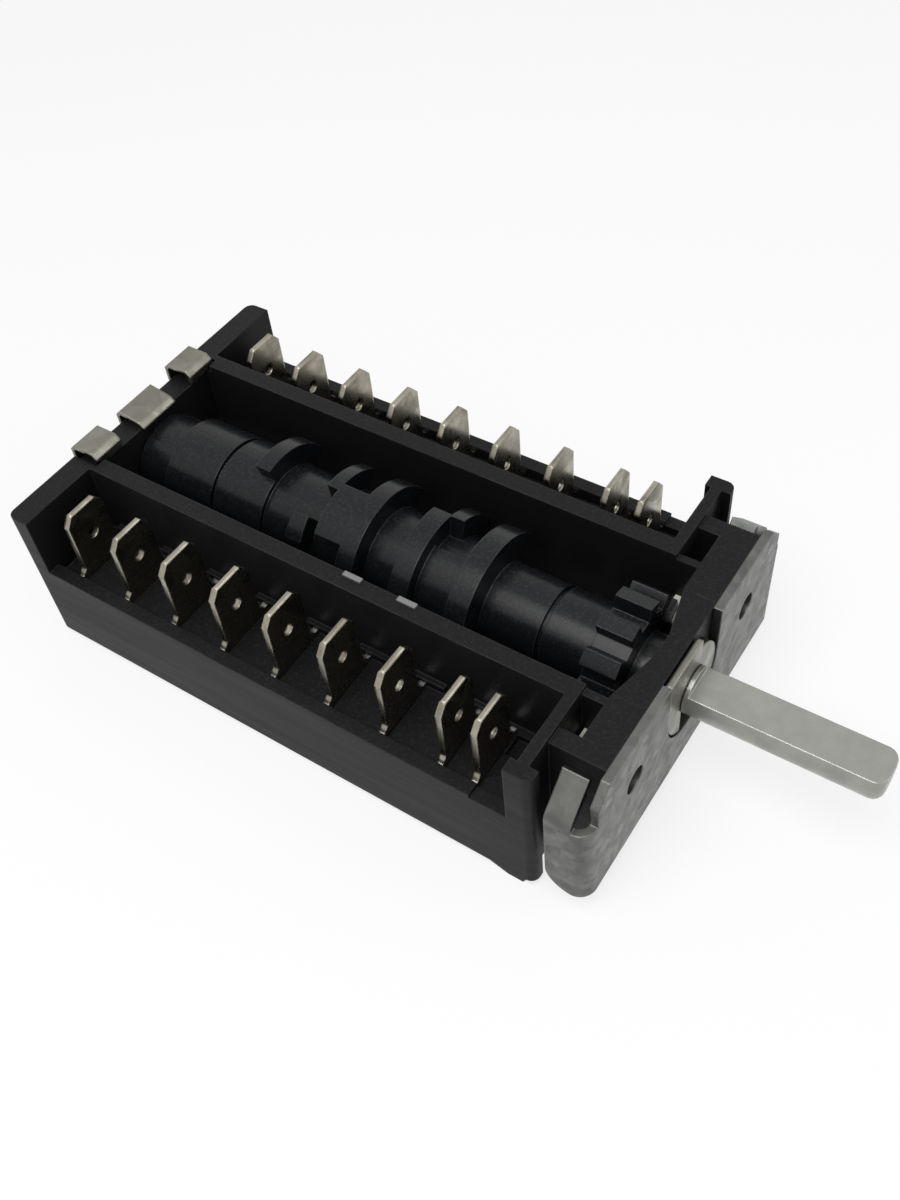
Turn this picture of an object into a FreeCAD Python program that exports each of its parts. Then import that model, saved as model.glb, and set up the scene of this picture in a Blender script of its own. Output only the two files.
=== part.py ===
import FreeCAD, Part
import Sketcher
import math
import os

# Rotary cam switch for an oven: an open moulded housing with a cam drum lying in its trough, nine
# blade terminals on the deck at each side, and a folded steel bracket at the front that the D-shaft
# comes out of. +Y runs back along the drum axis, +X to the right seen from the front, +Z up.
# The origin is on the drum axis, in the front face of the bracket, midway between its two holes.

doc = FreeCAD.newDocument("oven_switch")

# Driving sizes in millimetres. Places are coordinates in the frame above.
sizes = {
    # Folded mounting bracket
    "bracket_inset": 0.0,
    "bracket_sheet": 1.1,
    "bracket_top": 7.4,
    "bracket_bottom": -11.7,
    "bracket_depth": 5.4,
    "bracket_bend": 2.2,
    "bracket_corner": 3.5,
    "lug_reach": 4.1,
    "lug_slit": 0.0,
    "lug_foot": 2.0,
    "lug_bend": 2.9,
    "lug_bend_radius": 1.8,
    "plate_corner": 5.1,
    "screw_spacing": 28.0,
    "screw_hole_radius": 1.8,
    "gate_radius": 6.2,
    # Moulded housing
    "housing_rear": 83.9,
    "housing_bottom": -14.0,
    "rear_wall": 3.4,
    "wall_top": 8.1,
    "clip_seat_drop": 1.0,
    "clip_seat_gap": 0.5,
    "clip_seat_depth": 4.0,
    "rim_top": -1.1,
    "rim_width": 1.8,
    "deck_top": -2.6,
    "deck_thickness": 2.0,
    "trough_radius": 10.6,
    "trough_wall": 2.3,
    "deck_width": 9.7,
    "side_front": 6.8,
    "block_depth": 4.2,
    "bay_wall_front": 8.0,
    "bay_wall": 1.4,
    "pocket_inner": 11.6,
    "pocket_outer": 16.4,
    "pocket_wall": 2.3,
    "pocket_floor": -7.5,
    "foot_drop": 1.0,
    "foot_width": 4.0,
    "foot_front": 8.5,
    "foot_rear": 10.5,
    "foot_slope": 2.5,
    "post_rear": 10.2,
    "rim_notch_rear": 15.0,
    "rim_notch_depth": 0.6,
    "rim_groove": 0.3,
    "rim_groove_depth": 0.8,
    "ledge_width": 0.7,
    "ledge_height": 1.1,
    "ledge_ahead": 2.9,
    "ledge_behind": 1.7,
    "deck_slot_inset": 1.1,
    "deck_slot_width": 3.0,
    "deck_slot_front": 12.4,
    "deck_slot_rear": 14.9,
    "deck_slot_depth": 1.0,
    "nub_width": 0.7,
    "nub_height": 0.25,
    "nub_front": 30.0,
    "nub_length": 2.6,
    "nub_pitch": 7.8,
    "corner_radius": 1.2,
    "chamber_inset": 0.3,
    "side_wall": 1.6,
    "chamber_ahead": 4.95,
    "chamber_length": 7.1,
    "bus_way_front": 13.4,
    "bus_way_gap": 0.2,
    "leaf_slot_top": -4.0,
    "leaf_slot_bottom": -7.0,
    "leaf_slot_gap": 0.3,
    "cover_front": 12.1,
    "cover_rear": 81.8,
    "cover_post_width": 1.4,
    "cover_post_length": 1.8,
    "stake_front": 20.0,
    "stake_pitch": 26.0,
    "cover_thickness": 1.6,
    "cover_margin": 1.2,
    "cover_gap": 0.1,
    "stake_radius": 1.2,
    # Bearing cap
    "cap_left": 10.0,
    "cap_right": 7.0,
    "cap_gap": 0.05,
    "cap_waist": 3.7,
    "cap_waist_left": 3.0,
    "cap_waist_right": 0.5,
    # Cam drum
    "journal_radius": 4.5,
    "journal_clearance": 0.06,
    "journal_front": 1.3,
    "wheel_front": 6.4,
    "wheel_rear": 11.0,
    "wheel_tip_radius": 9.0,
    "wheel_root_radius": 7.2,
    "tooth_tip_angle": 13.0,
    "tooth_root_angle": 17.0,
    "index_positions": 12,
    "neck_rear": 17.4,
    "neck_radius": 5.5,
    "neck_groove_rear": 18.0,
    "neck_groove_radius": 4.9,
    "fore_rear": 25.7,
    "fore_radius": 5.5,
    "middle_rear": 58.4,
    "middle_radius": 6.3,
    "aft_rear": 66.2,
    "aft_radius": 7.0,
    "aft_groove_rear": 66.8,
    "aft_groove_radius": 6.4,
    "sleeve_rear": 74.7,
    "sleeve_radius": 7.0,
    "sleeve_groove_rear": 75.3,
    "sleeve_groove_radius": 5.4,
    "drum_rear": 80.2,
    "tail_radius": 6.0,
    "bore_rear": 30.2,
    "rear_pin_radius": 3.2,
    "rear_pin_clearance": 0.06,
    "rear_pin_rear": 83.4,
    # D-shaft
    "shaft_radius": 3.0,
    "shaft_flat": 1.6,
    "shaft_tip": 23.2,
    "shaft_rear": 30.0,
    "shaft_tip_bevel": 1.2,
    "knob_flat_rear": 1.9,
    "drum_flat_front": 11.0,
    "shaft_fit": 0.03,
    "clip_groove_radius": 2.5,
    "clip_groove_front": 0.05,
    "clip_groove_rear": 1.05,
    # Shaft clip in the bracket's gate
    "shaft_clip_sheet": 0.8,
    "shaft_clip_gap": 0.3,
    "shaft_clip_top": 6.9,
    "shaft_clip_lug": 1.8,
    # Detent plungers
    "plunger_gap": 0.1,
    "nose_radius": 1.2,
    "nose_tip": 7.45,
    "plunger_head": 2.0,
    "plunger_back": 13.0,
    "spring_strip": 0.3,
    "spring_width": 1.8,
    "spring_top": 1.6,
    "spring_bend": 0.8,
    "spring_gap": 0.05,
    # Terminals, contact leaves and bus bars
    "poles": 8,
    "pole_pitch": 8.1,
    "first_terminal": 20.2,
    "bus_terminal": 15.6,
    "blade_thickness": 0.8,
    "blade_offset": 0.6,
    "blade_width": 6.3,
    "blade_top": 8.0,
    "blade_bevel_x": 1.2,
    "blade_bevel_z": 1.5,
    "blade_edge_bevel": 0.2,
    "blade_hole_z": 3.2,
    "blade_hole_radius": 0.8,
    "blade_root": 0.8,
    "shoulder_gap_inner": 0.8,
    "shoulder_gap_outer": 0.1,
    "shoulder_flat_inner": 0.7,
    "shoulder_flat_outer": 0.2,
    "shoulder_height": 0.8,
    "leg_step_inner": 1.9,
    "leg_step_outer": 0.5,
    "leg_slot_gap": 0.05,
    "leg_foot_width": 3.4,
    "foot_length": 2.8,
    "leaf_thickness": 0.35,
    "leaf_width": 2.4,
    "leaf_end_step": 0.2,
    "leaf_nose": 7.7,
    "leaf_nose_width": 1.6,
    "contact_inset": 2.4,
    "contact_radius": 1.1,
    "contact_height": 1.0,
    "bus_half_width": 1.9,
    "bus_rear": 80.2,
    # Rear spring clip
    "clip_sheet": 0.5,
    "clip_gap": 0.05,
    "clip_half_width": 11.6,
    "clip_bottom": -7.0,
    "clip_shoulder": 5.0,
    "finger_width": 4.6,
    "finger_back": 84.9,
    "finger_front": 80.2,
    "finger_crest": 9.3,
    "finger_tip": 7.3,
    "tongue_half_width": 3.2,
    "tongue_back": 84.8,
    "tongue_front": 79.9,
    "tongue_crest": 8.7,
    "tongue_front_crest": 8.1,
    "tongue_tip": 7.3,
    "arch_bend": 0.7,
}

# Cams on the drum: front and rear along it, radius, and the angles between which each one
# stands up, counted from +X towards +Z.
cams = {
    "cam_1": (17.8, 20.2, 9.2, 200, 285),
    "cam_2": (25.7, 28.6, 9.2, 40, 165),
    "ridge_2": (28.5, 34.0, 7.3, 100, 165),
    "cam_3_end": (32.1, 34.1, 9.2, 20, 74),
    "cam_3": (34.0, 36.7, 9.2, 72, 155),
    "cam_4": (42.1, 44.6, 9.2, 30, 165),
    "cam_4_end": (44.5, 48.6, 9.2, 88, 135),
    "cam_5_step": (48.5, 50.3, 9.2, 45, 95),
    "cam_5": (50.2, 52.6, 9.2, 125, 147),
    "cam_5_under": (50.2, 52.6, 9.2, 215, 300),
    "cam_6": (58.4, 60.7, 9.2, 30, 105),
    "cam_7": (66.8, 69.0, 9.2, 195, 280),
    "cam_8": (75.3, 77.5, 9.2, 205, 330),
}
for cam, (front, rear, radius, start, end) in cams.items():
    sizes[cam + "_front"] = front
    sizes[cam + "_rear"] = rear
    sizes[cam + "_radius"] = radius
    sizes[cam + "_from"] = start
    sizes[cam + "_to"] = end

sheet = doc.addObject("Spreadsheet::Sheet", "Sizes")
for row, (alias, value) in enumerate(sizes.items(), start=1):
    sheet.set("A%d" % row, alias)
    sheet.set("B%d" % row, str(value))
    sheet.setAlias("B%d" % row, alias)
doc.recompute()


def size(alias):
    """A driving size, read from the sheet."""
    return float(sheet.get(alias))


# Sizes that follow from the driving ones, as expressions on the sheet.
BLOCK_REAR = "(Sizes.bracket_sheet + Sizes.block_depth)"
BAY_WALL_REAR = "(Sizes.bay_wall_front + Sizes.bay_wall)"
TROUGH_REAR = "(Sizes.housing_rear - Sizes.rear_wall)"
TROUGH_OUTER = "(Sizes.trough_radius + Sizes.trough_wall)"
INNER_RIM = "(%s + Sizes.deck_width)" % TROUGH_OUTER
HALF_WIDTH = "(%s + Sizes.rim_width)" % INNER_RIM
BRACKET_HALF = "(%s - Sizes.bracket_inset)" % HALF_WIDTH
BLOCK_HALF = "(Sizes.pocket_outer + Sizes.pocket_wall)"
SEAT_HALF = "(Sizes.clip_half_width + Sizes.clip_seat_gap)"
COVER_HALF = "(%s - Sizes.cover_margin)" % HALF_WIDTH
CHAMBER_INNER = "(%s + Sizes.chamber_inset)" % TROUGH_OUTER
CHAMBER_OUTER = "(%s - Sizes.side_wall)" % HALF_WIDTH
SLOT_INNER = "(%s + Sizes.deck_slot_inset)" % TROUGH_OUTER
SLOT_OUTER = "(%s + Sizes.deck_slot_width)" % SLOT_INNER
BLADE_X = "(%s + Sizes.deck_width / 2 + Sizes.blade_offset)" % TROUGH_OUTER
SHOULDER_INNER = "(%s + Sizes.shoulder_gap_inner)" % TROUGH_OUTER
SHOULDER_OUTER = "(%s - Sizes.shoulder_gap_outer)" % INNER_RIM
LEG_INNER = "(%s + Sizes.leg_step_inner)" % SHOULDER_INNER
LEG_OUTER = "(%s - Sizes.leg_step_outer)" % SHOULDER_OUTER
LEG_FOOT_INNER = "(%s - Sizes.leg_foot_width)" % LEG_OUTER
LEAF_END = "(%s - Sizes.leaf_end_step)" % LEG_OUTER
CONTACT_X = "(%s + Sizes.contact_inset)" % TROUGH_OUTER
BUS_WAY_OUTER = "(%s + Sizes.bus_half_width + Sizes.bus_way_gap)" % CONTACT_X
POST_INNER = "(%s - Sizes.cover_post_width / 2)" % CONTACT_X
POST_OUTER = "(%s + Sizes.cover_post_width / 2)" % CONTACT_X
DECK_UNDER = "(Sizes.deck_top - Sizes.deck_thickness)"
COVER_TOP = "(Sizes.housing_bottom + Sizes.cover_thickness)"
FOOT_UNDER = "(Sizes.deck_top - Sizes.deck_thickness - Sizes.blade_thickness)"
LEAF_UNDER = "(%s - Sizes.leaf_thickness)" % FOOT_UNDER
BUS_TOP = "(%s - 2 * Sizes.contact_height)" % LEAF_UNDER
BUS_UNDER = "(%s - Sizes.blade_thickness)" % BUS_TOP
PLUNGER_Y = "((%s + Sizes.bay_wall_front) / 2)" % BLOCK_REAR
LEAF_FRONT = "(Sizes.first_terminal - Sizes.blade_thickness / 2 - Sizes.leaf_width)"
PLANE_NORMAL = {"XY": 1, "XZ": -1, "YZ": 1}
PAST = 1.0


def origin_feature(body, role):
    """One of a body's own origin planes or axes."""
    for feature in body.Origin.OriginFeatures:
        if feature.Role == role:
            return feature
    raise ValueError(role)


def new_body(name):
    """An empty body whose label is the sub-part's name."""
    body = doc.addObject("PartDesign::Body", name)
    body.Label = name
    body.Placement = FreeCAD.Placement()
    return body


def new_sketch(body, name, plane, low, high):
    """A sketch at the end of the stretch low to high that its plane's normal points away from."""
    sketch = body.newObject("Sketcher::SketchObject", name)
    sketch.AttachmentSupport = [(origin_feature(body, plane + "_Plane"), "")]
    sketch.MapMode = "FlatFace"
    start = low if PLANE_NORMAL[plane] > 0 else "-(%s)" % high
    sketch.setExpression("AttachmentOffset.Base.z", start)
    return sketch


def draw_outline(sketch, corners):
    """A closed outline of straight lines, each corner held by two expressions."""
    first = sketch.GeometryCount
    count = len(corners)
    spots = []
    for number in range(count):
        angle = 2 * math.pi * number / count
        spots.append(FreeCAD.Vector(10 * math.cos(angle), 10 * math.sin(angle), 0))
    lines = [Part.LineSegment(spots[n], spots[(n + 1) % count]) for n in range(count)]
    sketch.addGeometry(lines, False)
    rules = []
    for n in range(count):
        rules.append(Sketcher.Constraint("Coincident", first + n, 2, first + (n + 1) % count, 1))
    for n in range(count):
        rules.append(Sketcher.Constraint("DistanceX", -1, 1, first + n, 1, spots[n].x))
        rules.append(Sketcher.Constraint("DistanceY", -1, 1, first + n, 1, spots[n].y))
    held = sketch.ConstraintCount + count
    sketch.addConstraint(rules)
    for n, (across, up) in enumerate(corners):
        sketch.setExpression("Constraints[%d]" % (held + 2 * n), across)
        sketch.setExpression("Constraints[%d]" % (held + 2 * n + 1), up)


def draw_rectangle(sketch, left, right, low, high):
    """A rectangle between four expressions."""
    draw_outline(sketch, [(left, low), (right, low), (right, high), (left, high)])


def draw_circle(sketch, across, up, radius):
    """A circle whose centre and radius are expressions."""
    number = sketch.GeometryCount
    centre = FreeCAD.Vector(5, 5, 0)
    sketch.addGeometry(Part.Circle(centre, FreeCAD.Vector(0, 0, 1), 2), False)
    held = sketch.ConstraintCount
    sketch.addConstraint([
        Sketcher.Constraint("DistanceX", -1, 1, number, 3, centre.x),
        Sketcher.Constraint("DistanceY", -1, 1, number, 3, centre.y),
        Sketcher.Constraint("Radius", number, 2)])
    sketch.setExpression("Constraints[%d]" % held, across)
    sketch.setExpression("Constraints[%d]" % (held + 1), up)
    sketch.setExpression("Constraints[%d]" % (held + 2), radius)


def pad(body, name, plane, low, high, draw):
    """Material between two places along the plane's axis, with the outline that draw makes."""
    sketch = new_sketch(body, name + "_sketch", plane, low, high)
    draw(sketch)
    feature = body.newObject("PartDesign::Pad", name)
    feature.Profile = sketch
    feature.setExpression("Length", "(%s) - (%s)" % (high, low))
    body.Tip = feature
    doc.recompute()
    return feature


def pocket(body, name, plane, low, high, draw):
    """Material taken out between two places along the plane's axis."""
    sketch = new_sketch(body, name + "_sketch", plane, low, high)
    draw(sketch)
    feature = body.newObject("PartDesign::Pocket", name)
    feature.Profile = sketch
    feature.Reversed = True
    feature.setExpression("Length", "(%s) - (%s)" % (high, low))
    body.Tip = feature
    doc.recompute()
    return feature


def along_poles(body, feature, name):
    """A feature repeated at every pole along the drum."""
    pattern = body.newObject("PartDesign::LinearPattern", name)
    pattern.Originals = [feature]
    pattern.Direction = (origin_feature(body, "Y_Axis"), [""])
    pattern.setExpression("Occurrences", "Sizes.poles")
    pattern.setExpression("Length", "(Sizes.poles - 1) * Sizes.pole_pitch")
    body.Tip = pattern
    doc.recompute()
    return pattern


def near(first, second):
    """Whether two coordinates are the same place."""
    return abs(first - second) < 0.001


def edges_where(body, axis, test):
    """The names of the body's edges that run along an axis and whose two ends pass a test."""
    names = []
    for number, edge in enumerate(body.Shape.Edges, start=1):
        if len(edge.Vertexes) != 2:
            continue
        ends = [corner.Point for corner in edge.Vertexes]
        run = ends[1] - ends[0]
        along = {"x": run.x, "y": run.y, "z": run.z}[axis]
        if near(abs(along), run.Length) and test(ends[0]) and test(ends[1]):
            names.append("Edge%d" % number)
    if not names:
        raise RuntimeError(body.Label + " has no such edge")
    return names


def fillet(body, name, axis, test, radius):
    """Rounded edges, chosen by where they lie."""
    base = body.Tip
    edges = edges_where(body, axis, test)
    feature = body.newObject("PartDesign::Fillet", name)
    feature.Base = (base, edges)
    feature.setExpression("Radius", radius)
    body.Tip = feature
    doc.recompute()
    if "Invalid" in feature.State:
        raise RuntimeError(name + " fails")
    return feature


def chamfer(body, name, axis, test, width):
    """Bevelled edges, chosen by where they lie."""
    base = body.Tip
    edges = edges_where(body, axis, test)
    feature = body.newObject("PartDesign::Chamfer", name)
    feature.Base = (base, edges)
    feature.setExpression("Size", width)
    body.Tip = feature
    doc.recompute()
    return feature


def solid_feature(name, shape, placement):
    """A group of separate solids made from the sheet's sizes."""
    feature = doc.addObject("Part::Feature", name)
    feature.Label = name
    feature.Shape = shape
    feature.Placement = placement
    return feature


def terminal_y(number, offset="0"):
    """The place of a pole's blade along the drum."""
    return "(Sizes.first_terminal + %d * Sizes.pole_pitch + %s)" % (number, offset)


def mirrored(side, expression):
    """A sideways place on the right (side 1) or the left (side -1)."""
    return "(%d * (%s))" % (side, expression)


def at_both_sides(inner, outer, low, high):
    """A drawing of two rectangles, one at each side of the middle."""
    def draw(sketch):
        for side in (-1, 1):
            draw_rectangle(sketch, mirrored(side, inner), mirrored(side, outer), low, high)
    return draw


# Housing: one moulding. The drum lies in the trough between the two raised walls, the terminals
# stand on the decks at either side, and the contact chambers are open underneath.
housing = new_body("housing")
half_width = (size("trough_radius") + size("trough_wall") + size("deck_width")
              + size("rim_width"))
pad(housing, "base", "XY", "Sizes.housing_bottom", "Sizes.rim_top", lambda sketch: draw_outline(
    sketch, [
        ("-" + BLOCK_HALF, "Sizes.bracket_sheet"),
        (BLOCK_HALF, "Sizes.bracket_sheet"),
        (BLOCK_HALF, "Sizes.bay_wall_front"),
        (INNER_RIM, "Sizes.bay_wall_front"),
        (INNER_RIM, "Sizes.side_front"),
        (HALF_WIDTH, "Sizes.side_front"),
        (HALF_WIDTH, "Sizes.housing_rear"),
        ("-" + HALF_WIDTH, "Sizes.housing_rear"),
        ("-" + HALF_WIDTH, "Sizes.side_front"),
        ("-" + INNER_RIM, "Sizes.side_front"),
        ("-" + INNER_RIM, "Sizes.bay_wall_front"),
        ("-" + BLOCK_HALF, "Sizes.bay_wall_front")]))
pad(housing, "front_block", "XY", "Sizes.rim_top", "Sizes.bracket_top", lambda sketch:
    draw_rectangle(sketch, "-" + BLOCK_HALF, BLOCK_HALF,
                   "Sizes.bracket_sheet", "Sizes.bay_wall_front"))
pad(housing, "raised_walls", "XY", "Sizes.rim_top", "Sizes.wall_top", lambda sketch: draw_outline(
    sketch, [
        ("-" + INNER_RIM, "Sizes.bay_wall_front"),
        (INNER_RIM, "Sizes.bay_wall_front"),
        (INNER_RIM, "Sizes.side_front"),
        (HALF_WIDTH, "Sizes.side_front"),
        (HALF_WIDTH, "Sizes.post_rear"),
        (INNER_RIM, "Sizes.post_rear"),
        (INNER_RIM, BAY_WALL_REAR),
        (TROUGH_OUTER, BAY_WALL_REAR),
        (TROUGH_OUTER, TROUGH_REAR),
        (HALF_WIDTH, TROUGH_REAR),
        (HALF_WIDTH, "Sizes.housing_rear"),
        ("-" + HALF_WIDTH, "Sizes.housing_rear"),
        ("-" + HALF_WIDTH, TROUGH_REAR),
        ("-" + TROUGH_OUTER, TROUGH_REAR),
        ("-" + TROUGH_OUTER, BAY_WALL_REAR),
        ("-" + INNER_RIM, BAY_WALL_REAR),
        ("-" + INNER_RIM, "Sizes.post_rear"),
        ("-" + HALF_WIDTH, "Sizes.post_rear"),
        ("-" + HALF_WIDTH, "Sizes.side_front"),
        ("-" + INNER_RIM, "Sizes.side_front")]))
fillet(housing, "outer_corners", "z", lambda point:
       near(abs(point.x), half_width)
       and (near(point.y, size("housing_rear")) or near(point.y, size("side_front"))),
       "Sizes.corner_radius")
pocket(housing, "trough_floor", "XZ", BLOCK_REAR, TROUGH_REAR, lambda sketch:
       draw_circle(sketch, "0", "0", "Sizes.trough_radius"))
pocket(housing, "trough_mouth", "XZ", BLOCK_REAR, TROUGH_REAR, lambda sketch:
       draw_rectangle(sketch, "-Sizes.trough_radius", "Sizes.trough_radius",
                      "0", "Sizes.wall_top + %g" % PAST))
pocket(housing, "front_bearing", "XZ", "Sizes.bracket_sheet", BLOCK_REAR, lambda sketch:
       draw_circle(sketch, "0", "0", "Sizes.journal_radius + Sizes.journal_clearance"))
pocket(housing, "cap_seat", "XY", "0", "Sizes.bracket_top + %g" % PAST, lambda sketch:
       draw_rectangle(sketch, "-Sizes.cap_left - Sizes.cap_gap", "Sizes.cap_right + Sizes.cap_gap",
                      "Sizes.bracket_sheet", BLOCK_REAR))
pocket(housing, "rear_bearing", "XZ", TROUGH_REAR, "Sizes.housing_rear", lambda sketch:
       draw_circle(sketch, "0", "0", "Sizes.rear_pin_radius + Sizes.rear_pin_clearance"))
pocket(housing, "clip_seat", "XY", "Sizes.wall_top - Sizes.clip_seat_drop",
       "Sizes.wall_top + %g" % PAST, lambda sketch:
       draw_rectangle(sketch, "-" + SEAT_HALF, SEAT_HALF,
                      "Sizes.housing_rear - Sizes.clip_seat_depth",
                      "Sizes.housing_rear + %g" % PAST))
pocket(housing, "cover_seat", "XY", "Sizes.housing_bottom", COVER_TOP, lambda sketch:
       draw_rectangle(sketch, "-" + COVER_HALF + " - Sizes.cover_gap",
                      COVER_HALF + " + Sizes.cover_gap",
                      "Sizes.cover_front - Sizes.cover_gap",
                      "Sizes.cover_rear + Sizes.cover_gap"))
for side, word in ((-1, "left"), (1, "right")):
    inner_end = HALF_WIDTH + " - Sizes.foot_width"
    pad(housing, "foot_" + word, "YZ",
        inner_end if side > 0 else "-" + HALF_WIDTH,
        HALF_WIDTH if side > 0 else "-(%s)" % inner_end,
        lambda sketch: draw_outline(sketch, [
            ("Sizes.side_front + Sizes.corner_radius", "Sizes.housing_bottom"),
            ("Sizes.foot_front", "Sizes.housing_bottom - Sizes.foot_drop"),
            ("Sizes.foot_rear", "Sizes.housing_bottom - Sizes.foot_drop"),
            ("Sizes.foot_rear + Sizes.foot_slope", "Sizes.housing_bottom")]))


def draw_stakes(sketch):
    """The three round stakes that the bottom cover is held by."""
    for number in range(3):
        draw_circle(sketch, "0", "Sizes.stake_front + %d * Sizes.stake_pitch" % number,
                    "Sizes.stake_radius")


def draw_nubs(sketch):
    """The two small nubs on the left wall."""
    for number in range(2):
        draw_rectangle(sketch, "-Sizes.trough_radius - Sizes.nub_width", "-Sizes.trough_radius",
                       "Sizes.nub_front + %d * Sizes.nub_pitch" % number,
                       "Sizes.nub_front + %d * Sizes.nub_pitch + Sizes.nub_length" % number)


pad(housing, "stakes", "XY", "Sizes.housing_bottom", COVER_TOP, draw_stakes)
pad(housing, "nubs", "XY", "Sizes.wall_top", "Sizes.wall_top + Sizes.nub_height", draw_nubs)
pocket(housing, "decks", "XY", "Sizes.deck_top", "Sizes.rim_top",
       at_both_sides(TROUGH_OUTER, INNER_RIM, BAY_WALL_REAR, TROUGH_REAR))
pocket(housing, "rim_grooves", "XY", "Sizes.deck_top - Sizes.rim_groove_depth", "Sizes.deck_top",
       at_both_sides(INNER_RIM + " - Sizes.rim_groove", INNER_RIM, BAY_WALL_REAR, TROUGH_REAR))
pocket(housing, "rim_notches", "XY", "Sizes.rim_top - Sizes.rim_notch_depth", "Sizes.rim_top",
       at_both_sides(INNER_RIM, HALF_WIDTH + " + %g" % PAST,
                     "Sizes.post_rear", "Sizes.rim_notch_rear"))
pocket(housing, "deck_slots", "XY", "Sizes.deck_top - Sizes.deck_slot_depth", "Sizes.deck_top",
       at_both_sides(SLOT_INNER, SLOT_OUTER,
                     "Sizes.deck_slot_front", "Sizes.deck_slot_rear"))
pocket(housing, "detent_pockets", "XY", "Sizes.pocket_floor", "Sizes.bracket_top + %g" % PAST,
       at_both_sides("Sizes.pocket_inner", "Sizes.pocket_outer",
                     BLOCK_REAR, "Sizes.bay_wall_front"))
pocket(housing, "detent_guides", "XZ",
       PLUNGER_Y + " - Sizes.plunger_head / 2 - Sizes.plunger_gap",
       PLUNGER_Y + " + Sizes.plunger_head / 2 + Sizes.plunger_gap",
       at_both_sides("Sizes.trough_radius / 2", "Sizes.pocket_inner",
                     "-Sizes.nose_radius - Sizes.plunger_gap",
                     "Sizes.nose_radius + Sizes.plunger_gap"))
pocket(housing, "bus_leg_slots", "XY", DECK_UNDER, "Sizes.deck_top",
       at_both_sides(LEG_INNER + " - Sizes.leg_slot_gap",
                     LEG_OUTER + " + Sizes.leg_slot_gap",
                     "Sizes.bus_terminal - Sizes.blade_thickness / 2 - Sizes.leg_slot_gap",
                     "Sizes.bus_terminal + Sizes.blade_thickness / 2 + Sizes.leg_slot_gap"))
pocket(housing, "bus_chambers", "XY", COVER_TOP, DECK_UNDER,
       at_both_sides(CHAMBER_INNER, CHAMBER_OUTER, "Sizes.bus_way_front",
                     terminal_y(0, "-Sizes.chamber_ahead + %g" % PAST)))
pocket(housing, "bus_ways", "XY", COVER_TOP, BUS_TOP,
       at_both_sides(CHAMBER_INNER, BUS_WAY_OUTER,
                     "Sizes.bus_way_front", TROUGH_REAR))
chamber = pocket(housing, "first_chambers", "XY", COVER_TOP, DECK_UNDER,
                 at_both_sides(CHAMBER_INNER, CHAMBER_OUTER,
                               terminal_y(0, "-Sizes.chamber_ahead"),
                               terminal_y(0, "-Sizes.chamber_ahead + Sizes.chamber_length")))
along_poles(housing, chamber, "chambers")
leg_slot = pocket(housing, "first_leg_slots", "XY", DECK_UNDER, "Sizes.deck_top",
                  at_both_sides(LEG_INNER + " - Sizes.leg_slot_gap",
                                LEG_OUTER + " + Sizes.leg_slot_gap",
                                terminal_y(0, "-Sizes.blade_thickness / 2 - Sizes.leg_slot_gap"),
                                terminal_y(0, "Sizes.blade_thickness / 2 + Sizes.leg_slot_gap")))
along_poles(housing, leg_slot, "leg_slots")
leaf_slot = pocket(housing, "first_leaf_slots", "XY", "Sizes.leaf_slot_bottom",
                   "Sizes.leaf_slot_top",
                   at_both_sides("Sizes.trough_radius / 2", CHAMBER_INNER,
                                 LEAF_FRONT + " - Sizes.leaf_slot_gap",
                                 LEAF_FRONT + " + Sizes.leaf_width + Sizes.leaf_slot_gap"))
along_poles(housing, leaf_slot, "leaf_slots")
ledge = pad(housing, "first_ledges", "XY", "Sizes.deck_top", "Sizes.deck_top + Sizes.ledge_height",
            at_both_sides(TROUGH_OUTER, TROUGH_OUTER + " + Sizes.ledge_width",
                          terminal_y(0, "-Sizes.ledge_ahead"),
                          terminal_y(0, "Sizes.ledge_behind")))
along_poles(housing, ledge, "ledges")


# Front bearing cap: closes the bearing over the drum's front journal. Its rear edge is waisted.
bearing_cap = new_body("front_bearing_cap")
CAP_REAR = "(%s - Sizes.cap_gap)" % BLOCK_REAR
pad(bearing_cap, "cap_block", "XY", "0", "Sizes.bracket_top", lambda sketch: draw_outline(
    sketch, [
        ("-Sizes.cap_left", "Sizes.bracket_sheet + Sizes.cap_gap"),
        ("Sizes.cap_right", "Sizes.bracket_sheet + Sizes.cap_gap"),
        ("Sizes.cap_right", CAP_REAR),
        ("Sizes.cap_waist_right", "Sizes.cap_waist"),
        ("-Sizes.cap_waist_left", "Sizes.cap_waist"),
        ("-Sizes.cap_left", CAP_REAR)]))
pocket(bearing_cap, "cap_bore", "XZ", "Sizes.bracket_sheet", BLOCK_REAR, lambda sketch:
       draw_circle(sketch, "0", "0", "Sizes.journal_radius + Sizes.journal_clearance"))


# Bottom cover: a flat moulded plate on three stakes, with posts that the bus bars lie on.
bottom_cover = new_body("bottom_cover")


def draw_cover(sketch):
    """The cover's outline with the holes for its stakes."""
    draw_rectangle(sketch, "-" + COVER_HALF, COVER_HALF,
                   "Sizes.cover_front", "Sizes.cover_rear")
    for number in range(3):
        draw_circle(sketch, "0", "Sizes.stake_front + %d * Sizes.stake_pitch" % number,
                    "Sizes.stake_radius + Sizes.cover_gap")


pad(bottom_cover, "plate", "XY", "Sizes.housing_bottom", COVER_TOP, draw_cover)
POST_Y = "(%s - Sizes.chamber_ahead + Sizes.chamber_length + %s)" % (
    "Sizes.first_terminal", "(Sizes.pole_pitch - Sizes.chamber_length) / 2")
posts = pad(bottom_cover, "first_posts", "XY", COVER_TOP, BUS_UNDER,
            at_both_sides(POST_INNER, POST_OUTER,
                          POST_Y + " - Sizes.cover_post_length / 2",
                          POST_Y + " + Sizes.cover_post_length / 2"))
along_poles(bottom_cover, posts, "posts")


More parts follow.
